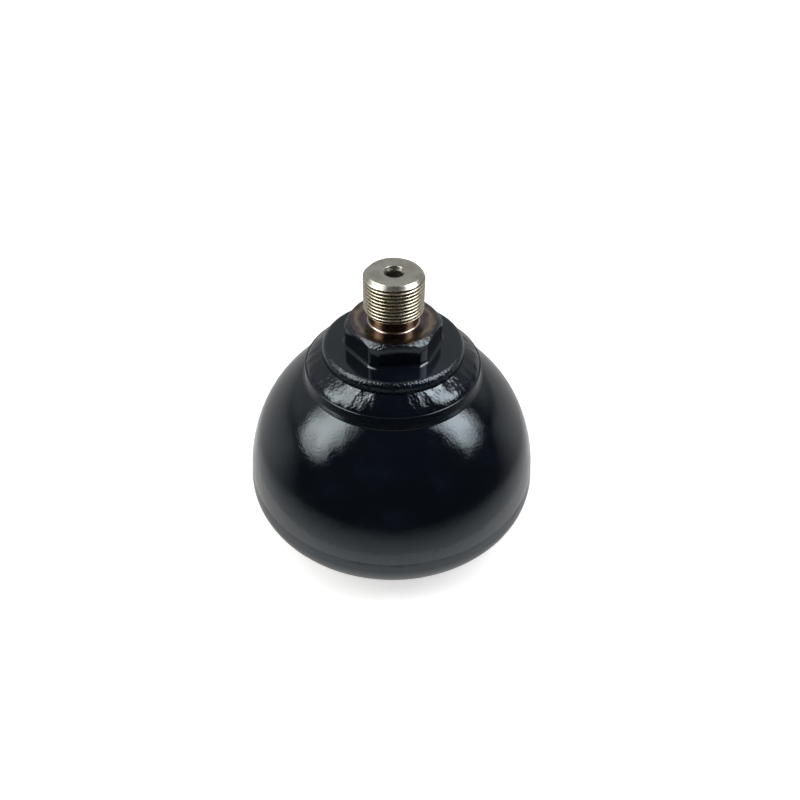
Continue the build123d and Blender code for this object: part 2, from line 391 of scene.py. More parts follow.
def grid_normals(points, closed_rows):
    """The surface normal at every grid point: the cross product of the chords between its two neighbours
    across and its two neighbours along. At an open edge, the chord runs to the point itself."""
    across = np.roll(points, -1, axis=1) - np.roll(points, 1, axis=1)
    along = np.roll(points, -1, axis=0) - np.roll(points, 1, axis=0)
    if not closed_rows:
        along[0] = points[1] - points[0]
        along[-1] = points[-1] - points[-2]
    return unit(np.cross(across, along))


def make_piece(name, node, points, materials, body="vessel", poles=(), tint_rows=None):
    """Makes a closed mesh from a grid that closes round the axis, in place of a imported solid.

    The last row joins the first. With poles, each end row is closed by a fan to its pole instead. Faces
    point outwards: if six times the volume, the sum of a . (b x c) over all triangles, comes out negative,
    they are turned round.
    """
    rows, columns = points.shape[:2]
    quads = grid_quads(rows, columns, closed_rows=not poles)
    vertices = points.reshape(-1, 3)
    normals = grid_normals(points, closed_rows=not poles).reshape(-1, 3)
    triangles = np.empty((0, 3), int)
    if poles:
        first, last = len(vertices), len(vertices) + 1
        vertices = np.concatenate([vertices, poles])
        normals = np.concatenate([normals, np.zeros((2, 3))])
        low_row = np.arange(columns)
        high_row = low_row + (rows - 1) * columns
        start = np.stack([low_row, np.full(columns, first), np.roll(low_row, -1)], axis=-1)
        end = np.stack([high_row, np.roll(high_row, -1), np.full(columns, last)], axis=-1)
        triangles = np.concatenate([start, end])
    halves = np.concatenate([quads[:, [0, 1, 2]], quads[:, [0, 2, 3]], triangles])
    a, b, c = vertices[halves].transpose(1, 0, 2)
    if (a * np.cross(b, c)).sum() < 0:
        quads, triangles, normals = quads[:, ::-1], triangles[:, ::-1], -normals
    piece = new_object(name, vertices.tolist(), quads.tolist() + triangles.tolist(), materials)
    mesh = piece.data
    mesh.polygons.foreach_set("use_smooth", np.ones(len(mesh.polygons), bool))
    if tint_rows is not None:
        chosen = np.zeros(len(mesh.polygons), np.int32)
        chosen[: len(quads)] = np.repeat(tint_rows[: len(quads) // columns], columns)
        mesh.polygons.foreach_set("material_index", chosen)
    mesh.normals_split_custom_set_from_vertices(normals.tolist())
    mesh.update()
    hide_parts(node)
    if body:
        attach(piece, body)
    return piece


# Materials

class Nodes:
    """Short ways to add nodes to the tree of a material, a lamp or the world."""

    def __init__(self, owner, place):
        owner.use_nodes = True
        self.tree = owner.node_tree
        self.place = self.node(place[0]).outputs[place[1]]

    def found(self, kind):
        """The tree's node of one kind."""
        return next(n for n in self.tree.nodes if n.type == kind)

    def node(self, kind, **values):
        """A new node, with its properties set."""
        made = self.tree.nodes.new(kind)
        for key, value in values.items():
            setattr(made, key, value)
        return made

    def link(self, source, target):
        """Joins an output to an input."""
        self.tree.links.new(source, target)

    def noise(self, grain, detail=2.0, roughness=0.5, place=None):
        """Noise whose lumps are about `grain` metres across."""
        made = self.node("ShaderNodeTexNoise")
        made.inputs["Scale"].default_value = 1 / grain
        made.inputs["Detail"].default_value = detail
        made.inputs["Roughness"].default_value = roughness
        self.link(place or self.place, made.inputs["Vector"])
        return made.outputs["Fac"]

    def ranged(self, value, low, high, to_low, to_high, smooth=True):
        """The value carried from one range to another, and kept inside it."""
        made = self.node("ShaderNodeMapRange", interpolation_type="SMOOTHSTEP" if smooth else "LINEAR")
        for key, number in (("From Min", low), ("From Max", high), ("To Min", to_low), ("To Max", to_high)):
            made.inputs[key].default_value = number
        self.link(value, made.inputs["Value"])
        return made.outputs["Result"]

    def calculate(self, operation, *values):
        """The result of one calculation on sockets or numbers."""
        made = self.node("ShaderNodeMath", operation=operation)
        for socket, value in zip(made.inputs, values):
            if isinstance(value, (int, float)):
                socket.default_value = value
            else:
                self.link(value, socket)
        return made.outputs[0]

    def times(self, first, second):
        """The product of two sockets or numbers."""
        return self.calculate("MULTIPLY", first, second)

    def most(self, *values):
        """The largest of some sockets."""
        return functools.reduce(lambda first, second: self.calculate("MAXIMUM", first, second), values)

    def background_ray(self):
        """1 for the rays that show the background: the camera's, mirrored and transmitted ones."""
        path = self.node("ShaderNodeLightPath")
        return self.most(*(path.outputs[f"Is {kind} Ray"] for kind in ("Camera", "Glossy", "Transmission")))

    def split(self, vector):
        """The three parts of a vector."""
        made = self.node("ShaderNodeSeparateXYZ")
        self.link(vector, made.inputs[0])
        return made.outputs

    def blended(self, share, first, second):
        """Two colours, or sockets of colour, blended by a share."""
        made = self.node("ShaderNodeMix", data_type="RGBA")
        self.link(share, made.inputs["Factor"])
        for socket, value in zip([i for i in made.inputs if i.type == "RGBA"], (first, second)):
            if hasattr(value, "links"):
                self.link(value, socket)
            else:
                socket.default_value = (*value, 1.0)
        return next(o for o in made.outputs if o.type == "RGBA")


class Finish(Nodes):
    """A node material that reads the Object coordinates of its piece."""

    def __init__(self, name):
        self.material = bpy.data.materials.new(name)
        super().__init__(self.material, ("ShaderNodeTexCoord", "Object"))
        self.shader = self.found("BSDF_PRINCIPLED")

    def set(self, **values):
        """Sets sockets of the shader, each named with underscores for its spaces."""
        for key, value in values.items():
            self.shader.inputs[key.replace("_", " ").title().replace("Ior", "IOR")].default_value = value

    def laid(self, face, colour, value, low, high, share=1):
        """A colour laid over another one, from none where a value is low to the share where it is high."""
        return self.blended(self.ranged(value, low, high, 0, share), face, tuple(colour))

    def mottled(self, colour, other, grain, low, high, detail=4, roughness=0.5):
        """Two colours in cloudy patches, the second one where noise of the grain rises from low to high."""
        cloud = self.noise(grain, detail=detail, roughness=roughness)
        return self.laid(tuple(colour), other, cloud, low, high)

    def paint_over(self, colour):
        """Makes a socket of colour the surface's own."""
        self.link(colour, self.shader.inputs["Base Color"])

    def glow(self, strength):
        """Makes a socket the strength of the surface's white glow."""
        self.set(emission_color=(1, 1, 1, 1))
        self.link(strength, self.shader.inputs["Emission Strength"])

    def uneven_gloss(self, grain, low, high, detail=4):
        """Roughness that wanders from low to high in patches of the grain."""
        wander = self.ranged(self.noise(grain, detail=detail), 0.3, 0.7, low, high)
        self.link(wander, self.shader.inputs["Roughness"])

    def turned_place(self):
        """Coordinates that are the same all round the axis: (distance from the axis, 0, height)."""
        x, y, z = self.split(self.place)
        squares = [self.calculate("POWER", part, 2.0) for part in (x, y)]
        distance = self.calculate("SQRT", self.calculate("ADD", *squares))
        joined = self.node("ShaderNodeCombineXYZ")
        self.link(distance, joined.inputs["X"])
        self.link(z, joined.inputs["Z"])
        return joined.outputs[0], distance, z

    def bump(self, grain, depth, detail=2.0, roughness=0.5, place=None, after=None, share=None):
        """Lumps of the given grain and depth in metres, on top of an earlier bump. A share weakens them."""
        made = self.node("ShaderNodeBump")
        made.inputs["Distance"].default_value = depth
        if share:
            self.link(share, made.inputs["Strength"])
        self.link(self.noise(grain, detail, roughness, place), made.inputs["Height"])
        if after:
            self.link(after, made.inputs["Normal"])
        self.link(made.outputs["Normal"], self.shader.inputs["Normal"])
        return made.outputs["Normal"]


def scaled(colour, share):
    """A colour with its three parts multiplied by a share, or by one share each."""
    return (np.asarray(colour) * share).tolist()


def gloss_paint(name, peel, peel_depth, sag_depth, even=None):
    """Black gloss paint: orange peel of the given grain and depth over slow waves, and a faint haze.

    Between the two heights in even, the surface under it was machined, so the paint lies flatter there.
    """
    finish = Finish(name)
    share = None
    if even:
        _, _, height = finish.turned_place()
        above = finish.ranged(height, even[0], even[0] + 0.2 * MM, 1.0, 0.05)
        beyond = finish.ranged(height, even[1] - 0.4 * MM, even[1], 0.0, 0.75)
        share = finish.calculate("ADD", above, beyond)
    colour = settings().finishes.paint
    haze = scaled(colour, 1.8)
    finish.paint_over(finish.mottled(colour, haze, grain=14 * MM, low=0.45, high=0.75, roughness=0.6))
    finish.uneven_gloss(grain=5 * MM, low=0.07, high=0.13, detail=5)
    finish.set(ior=1.55)
    # Painted cool tint of daylight, laid on every reflection of the paint
    finish.shader.inputs["Specular Tint"].default_value = COOL_REFLECTION_TINT
    waves = finish.bump(9 * MM, sag_depth, share=share)
    finish.bump(peel, peel_depth, roughness=0.45, after=waves, share=share)
    return finish.material


def turned_steel():
    """Bare turned steel: warm grey, with fine tool marks, and dark oil with painted shade in the thread's
    grooves.
    """
    finish = Finish("turned_bare_steel")
    colour, port = settings().finishes.steel, settings().port
    ring, distance, height = finish.turned_place()
    face = finish.mottled(colour, scaled(colour, 0.75), grain=6 * MM, low=0.35, high=0.7)
    root = port.thread_radius - port.thread_depth
    outside = finish.ranged(distance, port.neck_radius, port.neck_radius + 0.5 * MM, 0, 1)
    below = finish.ranged(height, Z_STUD - port.stud_chamfer - 0.3 * MM, Z_STUD - port.stud_chamfer, 1, 0)
    # Painted shade with dark oil in the thread's roots: darkest at the root radius
    root_oil_and_shade = finish.ranged(distance, root + 0.1 * MM, port.thread_radius - 0.12 * MM, 0.92, 0)
    thread = finish.times(outside, below)
    face = finish.blended(thread, face, scaled(colour, WARM_TINT))
    oiled_and_shaded = finish.times(root_oil_and_shade, thread)
    finish.paint_over(finish.blended(oiled_and_shaded, face, scaled(colour, 0.12)))
    finish.set(metallic=1.0)
    finish.uneven_gloss(grain=2 * MM, low=0.22, high=0.32, detail=5)
    marks = finish.bump(0.35 * MM, 0.003 * MM, place=ring)
    finish.bump(1.6 * MM, 0.002 * MM, after=marks)
    return finish.material


def tinted_steel():
    """Oil-tinted steel: a golden brown neck that holds a painted reflection of the seal face, violet grey
    round its foot, golden grey on the seal face, and a painted highlight in the fillet at the neck's foot.
    """
    finish = Finish("tinted_steel")
    colours, port = settings().finishes, settings().port
    ring, distance, height = finish.turned_place()
    _, z_seal, _ = port_levels()
    stray = finish.times(finish.noise(6 * MM, detail=5, roughness=0.6), 8 * MM)
    reach = finish.calculate("ADD", distance, finish.calculate("SUBTRACT", stray, 4 * MM))
    violet_end, gold_full, edge_full = 11.8 * MM, 14.6 * MM, 16.6 * MM
    face = finish.laid(tuple(colours.violet), colours.gold, reach, violet_end, gold_full)
    face = finish.laid(face, scaled(colours.violet, 0.8), reach, gold_full, edge_full, share=0.9)
    rings = finish.noise(5 * MM, detail=3, place=ring)
    face = finish.laid(face, scaled(colours.violet, 0.55), rings, 0.55, 0.70, share=0.5)
    # Neck colour: oil tint with a painted reflection of the golden seal face
    neck = finish.laid(face, colours.bronze_and_face_reflection, height, z_seal + 0.5 * MM, z_seal + 1.0 * MM)
    # Painted highlight: bright colour painted into the fillet at the neck's foot
    in_fillet = port.neck_radius + 0.4 * MM
    fillet = finish.times(finish.ranged(height, z_seal + 0.3 * MM, z_seal + 0.7 * MM, 1, 0),
                          finish.ranged(distance, in_fillet, in_fillet + 0.3 * MM, 1, 0))
    finish.paint_over(finish.blended(fillet, neck, tuple(colours.fillet)))
    finish.set(metallic=1.0)
    finish.uneven_gloss(grain=3 * MM, low=0.17, high=0.27)
    marks = finish.bump(0.25 * MM, 0.008 * MM, detail=3, place=ring)
    finish.bump(1.5 * MM, 0.006 * MM, detail=3, after=marks)
    return finish.material


def plated_metal(name, colour, roughness):
    """Plated or soft metal with faint tool marks."""
    finish = Finish(name)
    ring, _, _ = finish.turned_place()
    finish.paint_over(finish.mottled(colour, scaled(colour, 0.8), grain=4 * MM, low=0.35, high=0.7))
    finish.set(metallic=1.0)
    finish.uneven_gloss(grain=2 * MM, low=roughness, high=roughness + 0.12)
    finish.bump(0.3 * MM, 0.006 * MM, detail=3, place=ring)
    return finish.material


def moulded_rubber():
    """Matt black rubber with a fine moulded grain."""
    finish = Finish("moulded_rubber")
    colour = settings().finishes.rubber
    finish.paint_over(finish.mottled(colour, scaled(colour, 1.8), grain=8 * MM, low=0.4, high=0.7, detail=5))
    finish.uneven_gloss(grain=3 * MM, low=0.55, high=0.75)
    finish.bump(0.5 * MM, 0.02 * MM, detail=4)
    return finish.material


# Operators, one for each piece or group of pieces

class PieceOperator:
    """What the operators share."""

    bl_options = {"REGISTER", "UNDO"}


class OBJECT_OT_accumulator_stud(PieceOperator, Operator):
    """Make the threaded stud with its bore, its neck and the bare seal face"""

    bl_idname = "object.accumulator_stud"
    bl_label = "Threaded Stud"

    def execute(self, context):
        port = settings().port
        turn = angles(settings().thread_columns)
        z_neck, z_seal, _ = port_levels()
        z_relief = z_seal - port.relief_depth
        z_inside = z_seal - 3 * port.edge
        top_radius = port.thread_radius - port.stud_chamfer
        profile = rounded_profile([
            corner(port.bore_radius, Z_STUD - port.mouth_depth, 0.5 * MM),
            corner(port.mouth_radius, Z_STUD, port.edge),
            corner(top_radius, Z_STUD, port.edge),
            corner(port.thread_radius, Z_STUD - port.stud_chamfer, port.edge),
            corner(port.thread_radius, z_neck + port.thread_run_out, 0.3 * MM),
            corner(port.neck_radius, z_neck, 0.5 * MM),
            corner(port.neck_radius, z_relief, port.neck_fillet, 8),
            corner(port.relief_radius - port.relief_depth, z_relief, port.relief_depth / 2, 3),
            corner(port.relief_radius, z_seal, port.relief_depth / 2, 3),
            corner(port.seal_face_radius, z_seal, port.edge / 2, 4),
            corner(port.seal_face_radius - port.edge, z_inside),
            corner(port.sleeve_radius, z_inside),
            corner(port.sleeve_radius, Z_INSIDE),
            corner(port.bore_radius + port.foot_chamfer, Z_INSIDE, port.edge / 2, 4),
            corner(port.bore_radius, Z_INSIDE + port.foot_chamfer, port.edge / 2, 4),
        ])
        rows_per_turn = 20
        profile = refined(profile, z_neck, Z_STUD, port.thread_pitch / rows_per_turn)
        radius, height = np.broadcast_to(profile, (len(profile), len(turn), 2)).transpose(2, 0, 1)
        threaded = (radius > port.neck_radius) & (height > z_neck)
        radius = np.where(threaded, np.minimum(radius, self.thread(turn, height, port)), radius)
        points = swept(np.stack([radius, height], axis=-1), turn)
        outside = profile[:, 0, 0] > port.bore_radius * 1.3
        tinted = outside & (profile[:, 0, 1] < z_neck + 0.4 * port.thread_run_out)
        make_piece("threaded_stud", "port_fitting", points, [turned_steel(), tinted_steel()],
                   tint_rows=tinted.astype(np.int32))
        return {"FINISHED"}

    @staticmethod
    def thread(turn, height, port):
        """Radius of a right-hand thread: the crest radius less the depth times how far the point lies into
        the groove. Its place in the groove is the fraction of (height / pitch - angle / full turn)."""
        phase = np.mod(height / port.thread_pitch - turn / FULL_TURN, 1)
        from_root = np.abs(phase - 0.5) * port.thread_pitch
        root_flat, crest_flat = 0.10, 0.07
        flank = np.clip((from_root / port.thread_pitch - root_flat) / (0.5 - root_flat - crest_flat), 0, 1)
        eased = flank * flank * (3 - 2 * flank)
        return port.thread_radius - port.thread_depth * (1 - 0.6 * flank - 0.4 * eased)


class OBJECT_OT_accumulator_hexagon(PieceOperator, Operator):
    """Make the painted hexagon, the flange and the spigot"""

    bl_idname = "object.accumulator_hexagon"
    bl_label = "Hexagon and Flange"

    def execute(self, context):
        port = settings().port
        turn = angles(settings().hexagon_columns)
        _, z_seal, z_flange = port_levels()
        z_inside = z_seal - 3 * port.edge
        wall = hexagon_radius(turn, port.across_flats, port.turned_radius, 0.10 * MM)
        bevel = (wall - port.seal_face_radius) * math.tan(port.bevel_angle)
        edge = port.painted_edge
        clear = 0.02 * MM
        profile = rounded_profile([
            corner(port.seal_face_radius + clear, z_inside),
            corner(port.seal_face_radius + clear, z_seal, edge / 5, 4),
            corner(wall, z_seal - bevel, edge, 6),
            corner(wall, z_flange, port.foot_fillet, 8),
            corner(port.flange_radius, z_flange, port.flange_shoulder, 14),
            corner(port.flange_radius, Z_COLLAR),
            corner(port.spigot_radius, Z_COLLAR),
            corner(port.spigot_radius, Z_INSIDE, port.edge, 4),
            corner(port.sleeve_radius + clear, Z_INSIDE),
            corner(port.sleeve_radius + clear, z_inside),
        ])
        paint = gloss_paint("gloss_paint_forging", 0.9 * MM, 0.34 * MM, 0.08 * MM,
                            (z_flange - 0.25 * MM, z_seal - 1.6 * MM))
        make_piece("hexagon_flange", "port_fitting", swept(profile, turn), [paint])
        return {"FINISHED"}


class OBJECT_OT_accumulator_port_weld(PieceOperator, Operator):
    """Make the rippled weld between the flange and the collar"""

    bl_idname = "object.accumulator_port_weld"
    bl_label = "Port Weld"

    def execute(self, context):
        port, shell = settings().port, settings().shell
        turn = angles(settings().weld_columns)
        toe_out = np.array([PORT_WELD_RADIUS, Z_COLLAR])
        toe_up = np.array([port.flange_radius, Z_PORT_WELD])
        root = np.array([port.flange_radius, Z_COLLAR])
        across = unit((toe_up - toe_out)[::-1] * [1, -1])
        share = bead_rows(28)
        bulge = 4 * share * (1 - share)
        roll = (1 - share) * (1 - (1 - share) ** 3)
        ripples = self.ripples(turn, share)
        slow_wave, toe_out_wave, toe_up_wave = 0.12 * MM, 0.22 * MM, 0.20 * MM
        wander = slow_wave * wobble(turn, seed=21, slowest=3, fastest=16)
        lift = shell.weld_crown * roll + wander * bulge + shell.ripple * ripples * np.sqrt(bulge)
        along = toe_out + (toe_up - toe_out) * share[..., None]
        face = along + across * lift[..., None]
        shift_out = 0.5 + 0.5 * wobble(turn, seed=22, slowest=5, fastest=40)
        shift_up = 0.5 + 0.5 * wobble(turn, seed=23, slowest=5, fastest=40)
        face[..., 0] -= toe_out_wave * shift_out * (1 - share) ** 4
        face[..., 1] -= toe_up_wave * shift_up * share**4
        back = np.broadcast_to(root, (1, len(turn), 2))
        profile = np.concatenate([face, back])
        paint = gloss_paint("gloss_paint_weld", 1.2 * MM, 0.14 * MM, 0.25 * MM)
        make_piece("port_weld_bead", "port_weld", swept(profile, turn), [paint])
        return {"FINISHED"}

    @staticmethod
    def ripples(turn, share):
        """Ripples of a hand-laid bead, from about -1 to 1: waves of a drifting pitch round the axis, whose
        fronts bow back by a parabola across the bead, weaker than the random lumps they ride on."""
        beads = 78
        bow = 1.6 * (2 * share - 1) ** 2
        drift = 1.6 * wobble(turn, seed=11, slowest=2, fastest=14)
        wave = np.cos(beads * turn + bow * math.pi + drift)
        strength = 0.5 + 0.5 * wobble(turn, seed=12, slowest=4, fastest=30)
        lumps = wobble(turn, seed=13, slowest=6, fastest=48, tilt=5.0, across=share)
        rough = wobble(turn, seed=14, slowest=60, fastest=150, tilt=12.0, across=share)
        wave_part, lump_part, rough_part = 0.16, 0.75, 0.12
        return wave_part * wave * strength + lump_part * lumps + rough_part * rough


class OBJECT_OT_accumulator_shells(PieceOperator, Operator):
    """Make the dome with its collar and the cap with its foot"""

    bl_idname = "object.accumulator_shells"
    bl_label = "Shells"

    def execute(self, context):
        paint = gloss_paint("gloss_paint_shell", 1.0 * MM, 0.045 * MM, 0.10 * MM)
        self.dome(settings().shell, paint)
        self.cap(settings().shell, paint)
        return {"FINISHED"}

    @staticmethod
    def dome(shell, paint):
        """Half ball with a short skirt below and the collar on top."""
        turn = angles(settings().columns)
        centre = (0.0, Z_SEAM + shell.skirt)
        inner = DOME_RADIUS - shell.wall
        z_inside = Z_COLLAR - shell.collar_thickness
        collar_top = shell.collar_radius - shell.collar_draft
        low = math.asin((Z_SEAM_WELD_HIGH - centre[1]) / DOME_RADIUS)
        high = math.acos(shell.collar_radius / DOME_RADIUS)
        inner_high = math.asin((z_inside - centre[1]) / inner)
        outside = [corner(c[0] + flare(c[1]), c[1]) for c in arc_corners(centre, DOME_RADIUS, low, high, 60)]
        inside = arc_corners(centre, inner, inner_high, 0.0, 30)
        foot, lip = outside.pop(), outside.pop(0)
        profile = rounded_profile([
            corner(lip[0], lip[1], 0.04 * MM, 2),
            *outside,
            corner(foot[0], foot[1], 0.4 * MM, 5),
            *collar_wall(shell, foot[1]),
            corner(collar_top, Z_COLLAR, shell.collar_corner, 8),
            corner(shell.opening_radius, Z_COLLAR),
            corner(shell.opening_radius, z_inside),
            *inside,
            corner(inner, Z_SEAM),
            corner(DOME_RADIUS - shell.seam_groove, Z_SEAM),
        ])
        make_piece("dome", "upper_shell", swept(profile, turn), [paint])

    @staticmethod
    def cap(shell, paint):
        """Torispherical cap, whose knuckle and crown meet on the line through both centres."""
        turn = angles(settings().columns)
        inner = DOME_RADIUS - shell.wall
        wall = CAP_RADIUS - inner
        z_knuckle = Z_SEAM_WELD_LOW - shell.cap_skirt
        knuckle = (CAP_RADIUS - shell.knuckle_radius, z_knuckle)
        z_crown = z_knuckle + math.sqrt((shell.crown_radius - shell.knuckle_radius) ** 2 - knuckle[0] ** 2)
        crown = (0.0, z_crown)
        meet = math.atan2(z_knuckle - z_crown, knuckle[0])
        edge = -math.acos(shell.foot_radius / shell.crown_radius)
        inner_crown = shell.crown_radius - wall
        ledge = inner - shell.ledge_width
        ledge_angle = -math.acos((ledge - knuckle[0]) / (shell.knuckle_radius - wall))
        boss_angle = -math.acos(shell.boss_radius / inner_crown)
        z_ledge = Z_SEAM - shell.ledge_drop
        outside = arc_corners(crown, shell.crown_radius, edge, meet, 16)
        outside += arc_corners(knuckle, shell.knuckle_radius, meet, 0.0, 16)[1:]
        inside = arc_corners(knuckle, shell.knuckle_radius - wall, ledge_angle, meet, 5)
        inside += arc_corners(crown, inner_crown, meet, boss_angle, 14)[1:]
        foot = outside.pop(0)
        profile = rounded_profile([
            corner(shell.plug_hole_radius, shell.plug_pocket_depth),
            corner(shell.plug_pocket_radius, shell.plug_pocket_depth),
            corner(shell.plug_pocket_radius, 0.0, 0.3 * MM, 4),
            corner(foot[0], foot[1], 1.0 * MM, 4),
            *outside,
            corner(CAP_RADIUS, Z_SEAM_WELD_LOW, 0.10 * MM, 3),
            corner(DOME_RADIUS - shell.seam_groove, Z_SEAM),
            corner(inner, Z_SEAM),
            corner(inner, z_ledge),
            corner(ledge, z_ledge),
            *inside,
            corner(shell.boss_radius, shell.boss_height, 1.0 * MM, 4),
            corner(shell.plug_hole_radius, shell.boss_height),
        ])
        make_piece("cap", "lower_shell", swept(profile, turn), [paint])


def collar_wall(shell, z_foot):
    """Corners of the collar's wall, which narrows evenly above its land. The small notches at even
    heights over its foot are fine turned lines."""
    z_land = z_foot + shell.collar_land
    slope = shell.collar_draft / (Z_COLLAR - z_land)
    corners = [corner(shell.collar_radius, z_land, 0.1 * MM, 3)]
    line = shell.collar_line
    notch = ((-0.16 * MM, 0.0), (-0.05 * MM, line), (0.05 * MM, line), (0.16 * MM, 0.0))
    for middle in (0.75 * MM, 1.35 * MM, 1.95 * MM):
        for step, depth in notch:
            level = z_foot + middle + step
            radius = shell.collar_radius - slope * (level - z_land) - depth
            corners.append(corner(radius, level, 0.03 * MM, 2))
    return corners


def flare(height):
    """How far the dome swells out towards the seam: a smooth rise over the last stretch above the weld."""
    shell = settings().shell
    share = np.clip((Z_SEAM_WELD_HIGH + shell.flare_height - height) / shell.flare_height, 0, 1)
    return shell.flare_width * share * share * (3 - 2 * share)


class OBJECT_OT_accumulator_seam_weld(PieceOperator, Operator):
    """Make the dressed weld bead between the two shells, which runs over smoothly from one to the other"""

    bl_idname = "object.accumulator_seam_weld"
    bl_label = "Seam Weld"

    def execute(self, context):
        shell = settings().shell
        turn = angles(settings().weld_columns)
        centre = Z_SEAM + shell.skirt
        root = np.array([DOME_RADIUS - shell.seam_groove, Z_SEAM])
        share = bead_rows(16)
        height = Z_SEAM_WELD_LOW + (Z_SEAM_WELD_HIGH - Z_SEAM_WELD_LOW) * share + 0 * turn
        ball = np.sqrt(DOME_RADIUS**2 - (height - centre) ** 2) + flare(height)
        bulge = 16 * share**2 * (1 - share) ** 2
        beads, crown, ripple, unevenness = 210, 0.05 * MM, 0.010 * MM, 0.025 * MM
        drift = 0.8 * wobble(turn, seed=31, slowest=2, fastest=18)
        wave = np.cos(beads * turn + 0.9 * math.pi * (2 * share - 1) ** 2 + drift)
        lift = bulge * (crown + ripple * wave + unevenness * wobble(turn, seed=32, slowest=3, fastest=30))
        face = np.stack([CAP_RADIUS + (ball - CAP_RADIUS) * share + lift, height], axis=-1)
        profile = np.concatenate([face, np.broadcast_to(root, (1, len(turn), 2))])
        paint = gloss_paint("gloss_paint_seam", 1.8 * MM, 0.02 * MM, 0.05 * MM)
        make_piece("seam_weld_bead", "seam_weld", swept(profile, turn), [paint])
        return {"FINISHED"}


class OBJECT_OT_accumulator_gas_plug(PieceOperator, Operator):
    """Make the gas plug with its hexagon socket"""

    bl_idname = "object.accumulator_gas_plug"
    bl_label = "Gas Plug"

    def execute(self, context):
        plug = settings().plug
        turn = angles(settings().hexagon_columns // 2)
        socket = hexagon_radius(turn, plug.socket_across_flats, None, 0.0)
        z_head = plug.recess + plug.head_height
        z_tip = node_high("gas_plug")
        z_floor = plug.recess + plug.socket_depth
        mouth = 0.35 * MM
        profile = rounded_profile([
            corner(0.2 * MM, z_floor),
            corner(socket, z_floor, 0.3 * MM, 3),
            corner(socket, plug.recess + mouth),
            corner(np.maximum(socket, plug.socket_across_flats / 2 + 2 * mouth), plug.recess, 0.1 * MM, 3),
            corner(plug.head_radius, plug.recess, plug.head_bevel, 8),
            corner(plug.head_radius, z_head, 0.2 * MM, 3),
            corner(plug.shank_radius, z_head, 0.3 * MM, 3),
            corner(plug.shank_radius, z_tip, 1.0 * MM, 6),
            corner(0.2 * MM, z_tip),
        ])
        zinc = plated_metal("zinc_plating", settings().finishes.zinc, 0.25)
        make_piece("gas_plug_screw", "gas_plug", swept(profile, turn), [zinc],
                   poles=([0, 0, z_floor], [0, 0, z_tip]))
        return {"FINISHED"}


class OBJECT_OT_accumulator_diaphragm(PieceOperator, Operator):
    """Make the rubber diaphragm and finish the other pieces inside"""

    bl_idname = "object.accumulator_diaphragm"
    bl_label = "Diaphragm and Inner Pieces"

    def execute(self, context):
        shell, plug = settings().shell, settings().plug
        turn = angles(settings().columns // 2)
        centre = (0.0, Z_SEAM + shell.skirt)
        outer = DOME_RADIUS - shell.wall - plug.rubber_gap
        inner = outer - plug.rubber_wall
        z_top, z_bead = node_high("diaphragm"), node_low("diaphragm")
        z_under = z_top - plug.rubber_wall
        z_bead_top = z_bead + plug.bead_height
        outside = arc_corners(centre, outer, 0.0, math.asin((z_top - centre[1]) / outer), 30)
        inside = arc_corners(centre, inner, math.asin((z_under - centre[1]) / inner),
                             math.asin((z_bead_top - centre[1]) / inner), 28)
        profile = rounded_profile([
            corner(outer, z_bead, 0.8 * MM, 4),
            *outside,
            corner(plug.button_radius, z_top, 0.3 * MM, 3),
            corner(plug.button_radius, z_under, 0.3 * MM, 3),
            *inside[:-1],
            corner(inside[-1][0], inside[-1][1], 0.3 * MM, 3),
            corner(outer - plug.bead_width, z_bead_top, 0.8 * MM, 4),
            corner(outer - plug.bead_width, z_bead, 0.8 * MM, 4),
        ])
        piece = make_piece("rubber_diaphragm", "diaphragm", swept(profile, turn), [moulded_rubber()],
                           body=None)
        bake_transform(piece)
        steel = turned_steel()
        for node in ("retaining_ring", "closing_button"):
            dress(node, steel)
        dress("gas_plug_seal", plated_metal("copper_seal", settings().finishes.copper, 0.3))
        return {"FINISHED"}


def dress(node, material):
    """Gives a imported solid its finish."""
    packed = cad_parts[node]
    packed.data.materials.clear()
    packed.data.materials.append(material)


